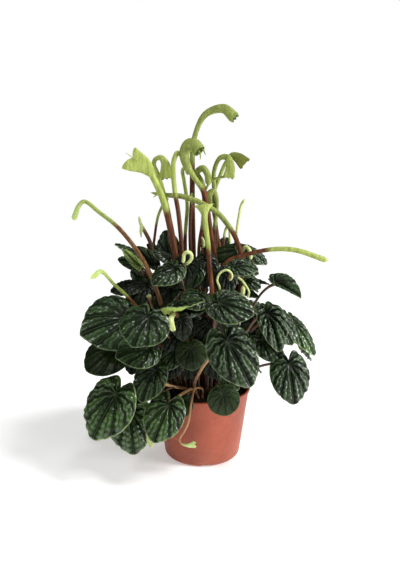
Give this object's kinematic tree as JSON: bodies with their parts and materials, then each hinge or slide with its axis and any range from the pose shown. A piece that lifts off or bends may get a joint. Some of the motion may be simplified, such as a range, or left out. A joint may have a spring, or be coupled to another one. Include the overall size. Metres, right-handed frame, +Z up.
{
  "type": "potted peperomia",
  "caption": "House plant with a bushy clump of dark green rippled heart-shaped leaves and pale curling flower spikes, growing in a small plain round nursery pot.",
  "frame": {"origin": "middle of the flat bottom of the pot, on the surface it stands on", "axes": "+Z up along the pot's axis, -Y towards the side the picture shows, +X to the right in the picture"},
  "size_m": [0.2145, 0.1855, 0.3212],
  "materials": {
    "pot": "satin",
    "soil": "matte",
    "stem": "satin",
    "leaf": "gloss",
    "spike": "satin"
  },
  "bodies": {
    "root": {"pot": "pot", "soil": "soil", "crown": "stem", "leaf_low_left": "leaf", "leaf_low_inner": "leaf", "leaf_low_front": "leaf", "leaf_low_middle": "leaf", "leaf_over_pot": "leaf", "leaf_low_right": "leaf", "leaf_left_large": "leaf", "leaf_left_front": "leaf", "leaf_left_under": "leaf", "leaf_left_dull": "leaf", "leaf_front_right": "leaf", "leaf_centre_right": "leaf", "leaf_centre_folded": "leaf", "leaf_right_folded": "leaf", "leaf_right_behind": "leaf", "leaf_far_right": "leaf", "leaf_inner_round": "leaf", "leaf_inner_upper": "leaf", "leaf_right_edge": "leaf", "leaf_upper_front": "leaf", "leaf_top_left": "leaf", "leaf_left_narrow": "leaf", "leaf_upper_right": "leaf", "leaf_top_right": "leaf", "leaf_top_wide": "leaf", "leaf_top_tall": "leaf", "leaf_back_right_low": "leaf", "leaf_back_low": "leaf", "leaf_back_centre_low": "leaf", "leaf_back_left_low": "leaf", "leaf_side_left_low": "leaf", "leaf_side_right": "leaf", "leaf_back_right": "leaf", "leaf_back_middle": "leaf", "leaf_back_left": "leaf", "leaf_back_upper_right": "leaf", "leaf_back_upper": "leaf", "leaf_back_upper_left": "leaf", "spike_tall": "spike", "spike_hooded": "spike", "spike_fan_left": "spike", "spike_hook_behind_fan": "spike", "spike_slender": "spike", "spike_t_top": "spike", "spike_long_arc": "spike", "spike_double_hook": "spike", "spike_big_hook": "spike", "spike_leafy_end": "spike", "spike_small_hook": "spike", "spike_left_hook": "spike", "spike_back_left": "spike", "spike_left_drop": "spike", "spike_long_left": "spike", "spike_small_left": "spike", "spike_long_right": "spike", "spike_right_thin": "spike", "young_stem_trailing": "spike"}
  },
  "joints": []
}
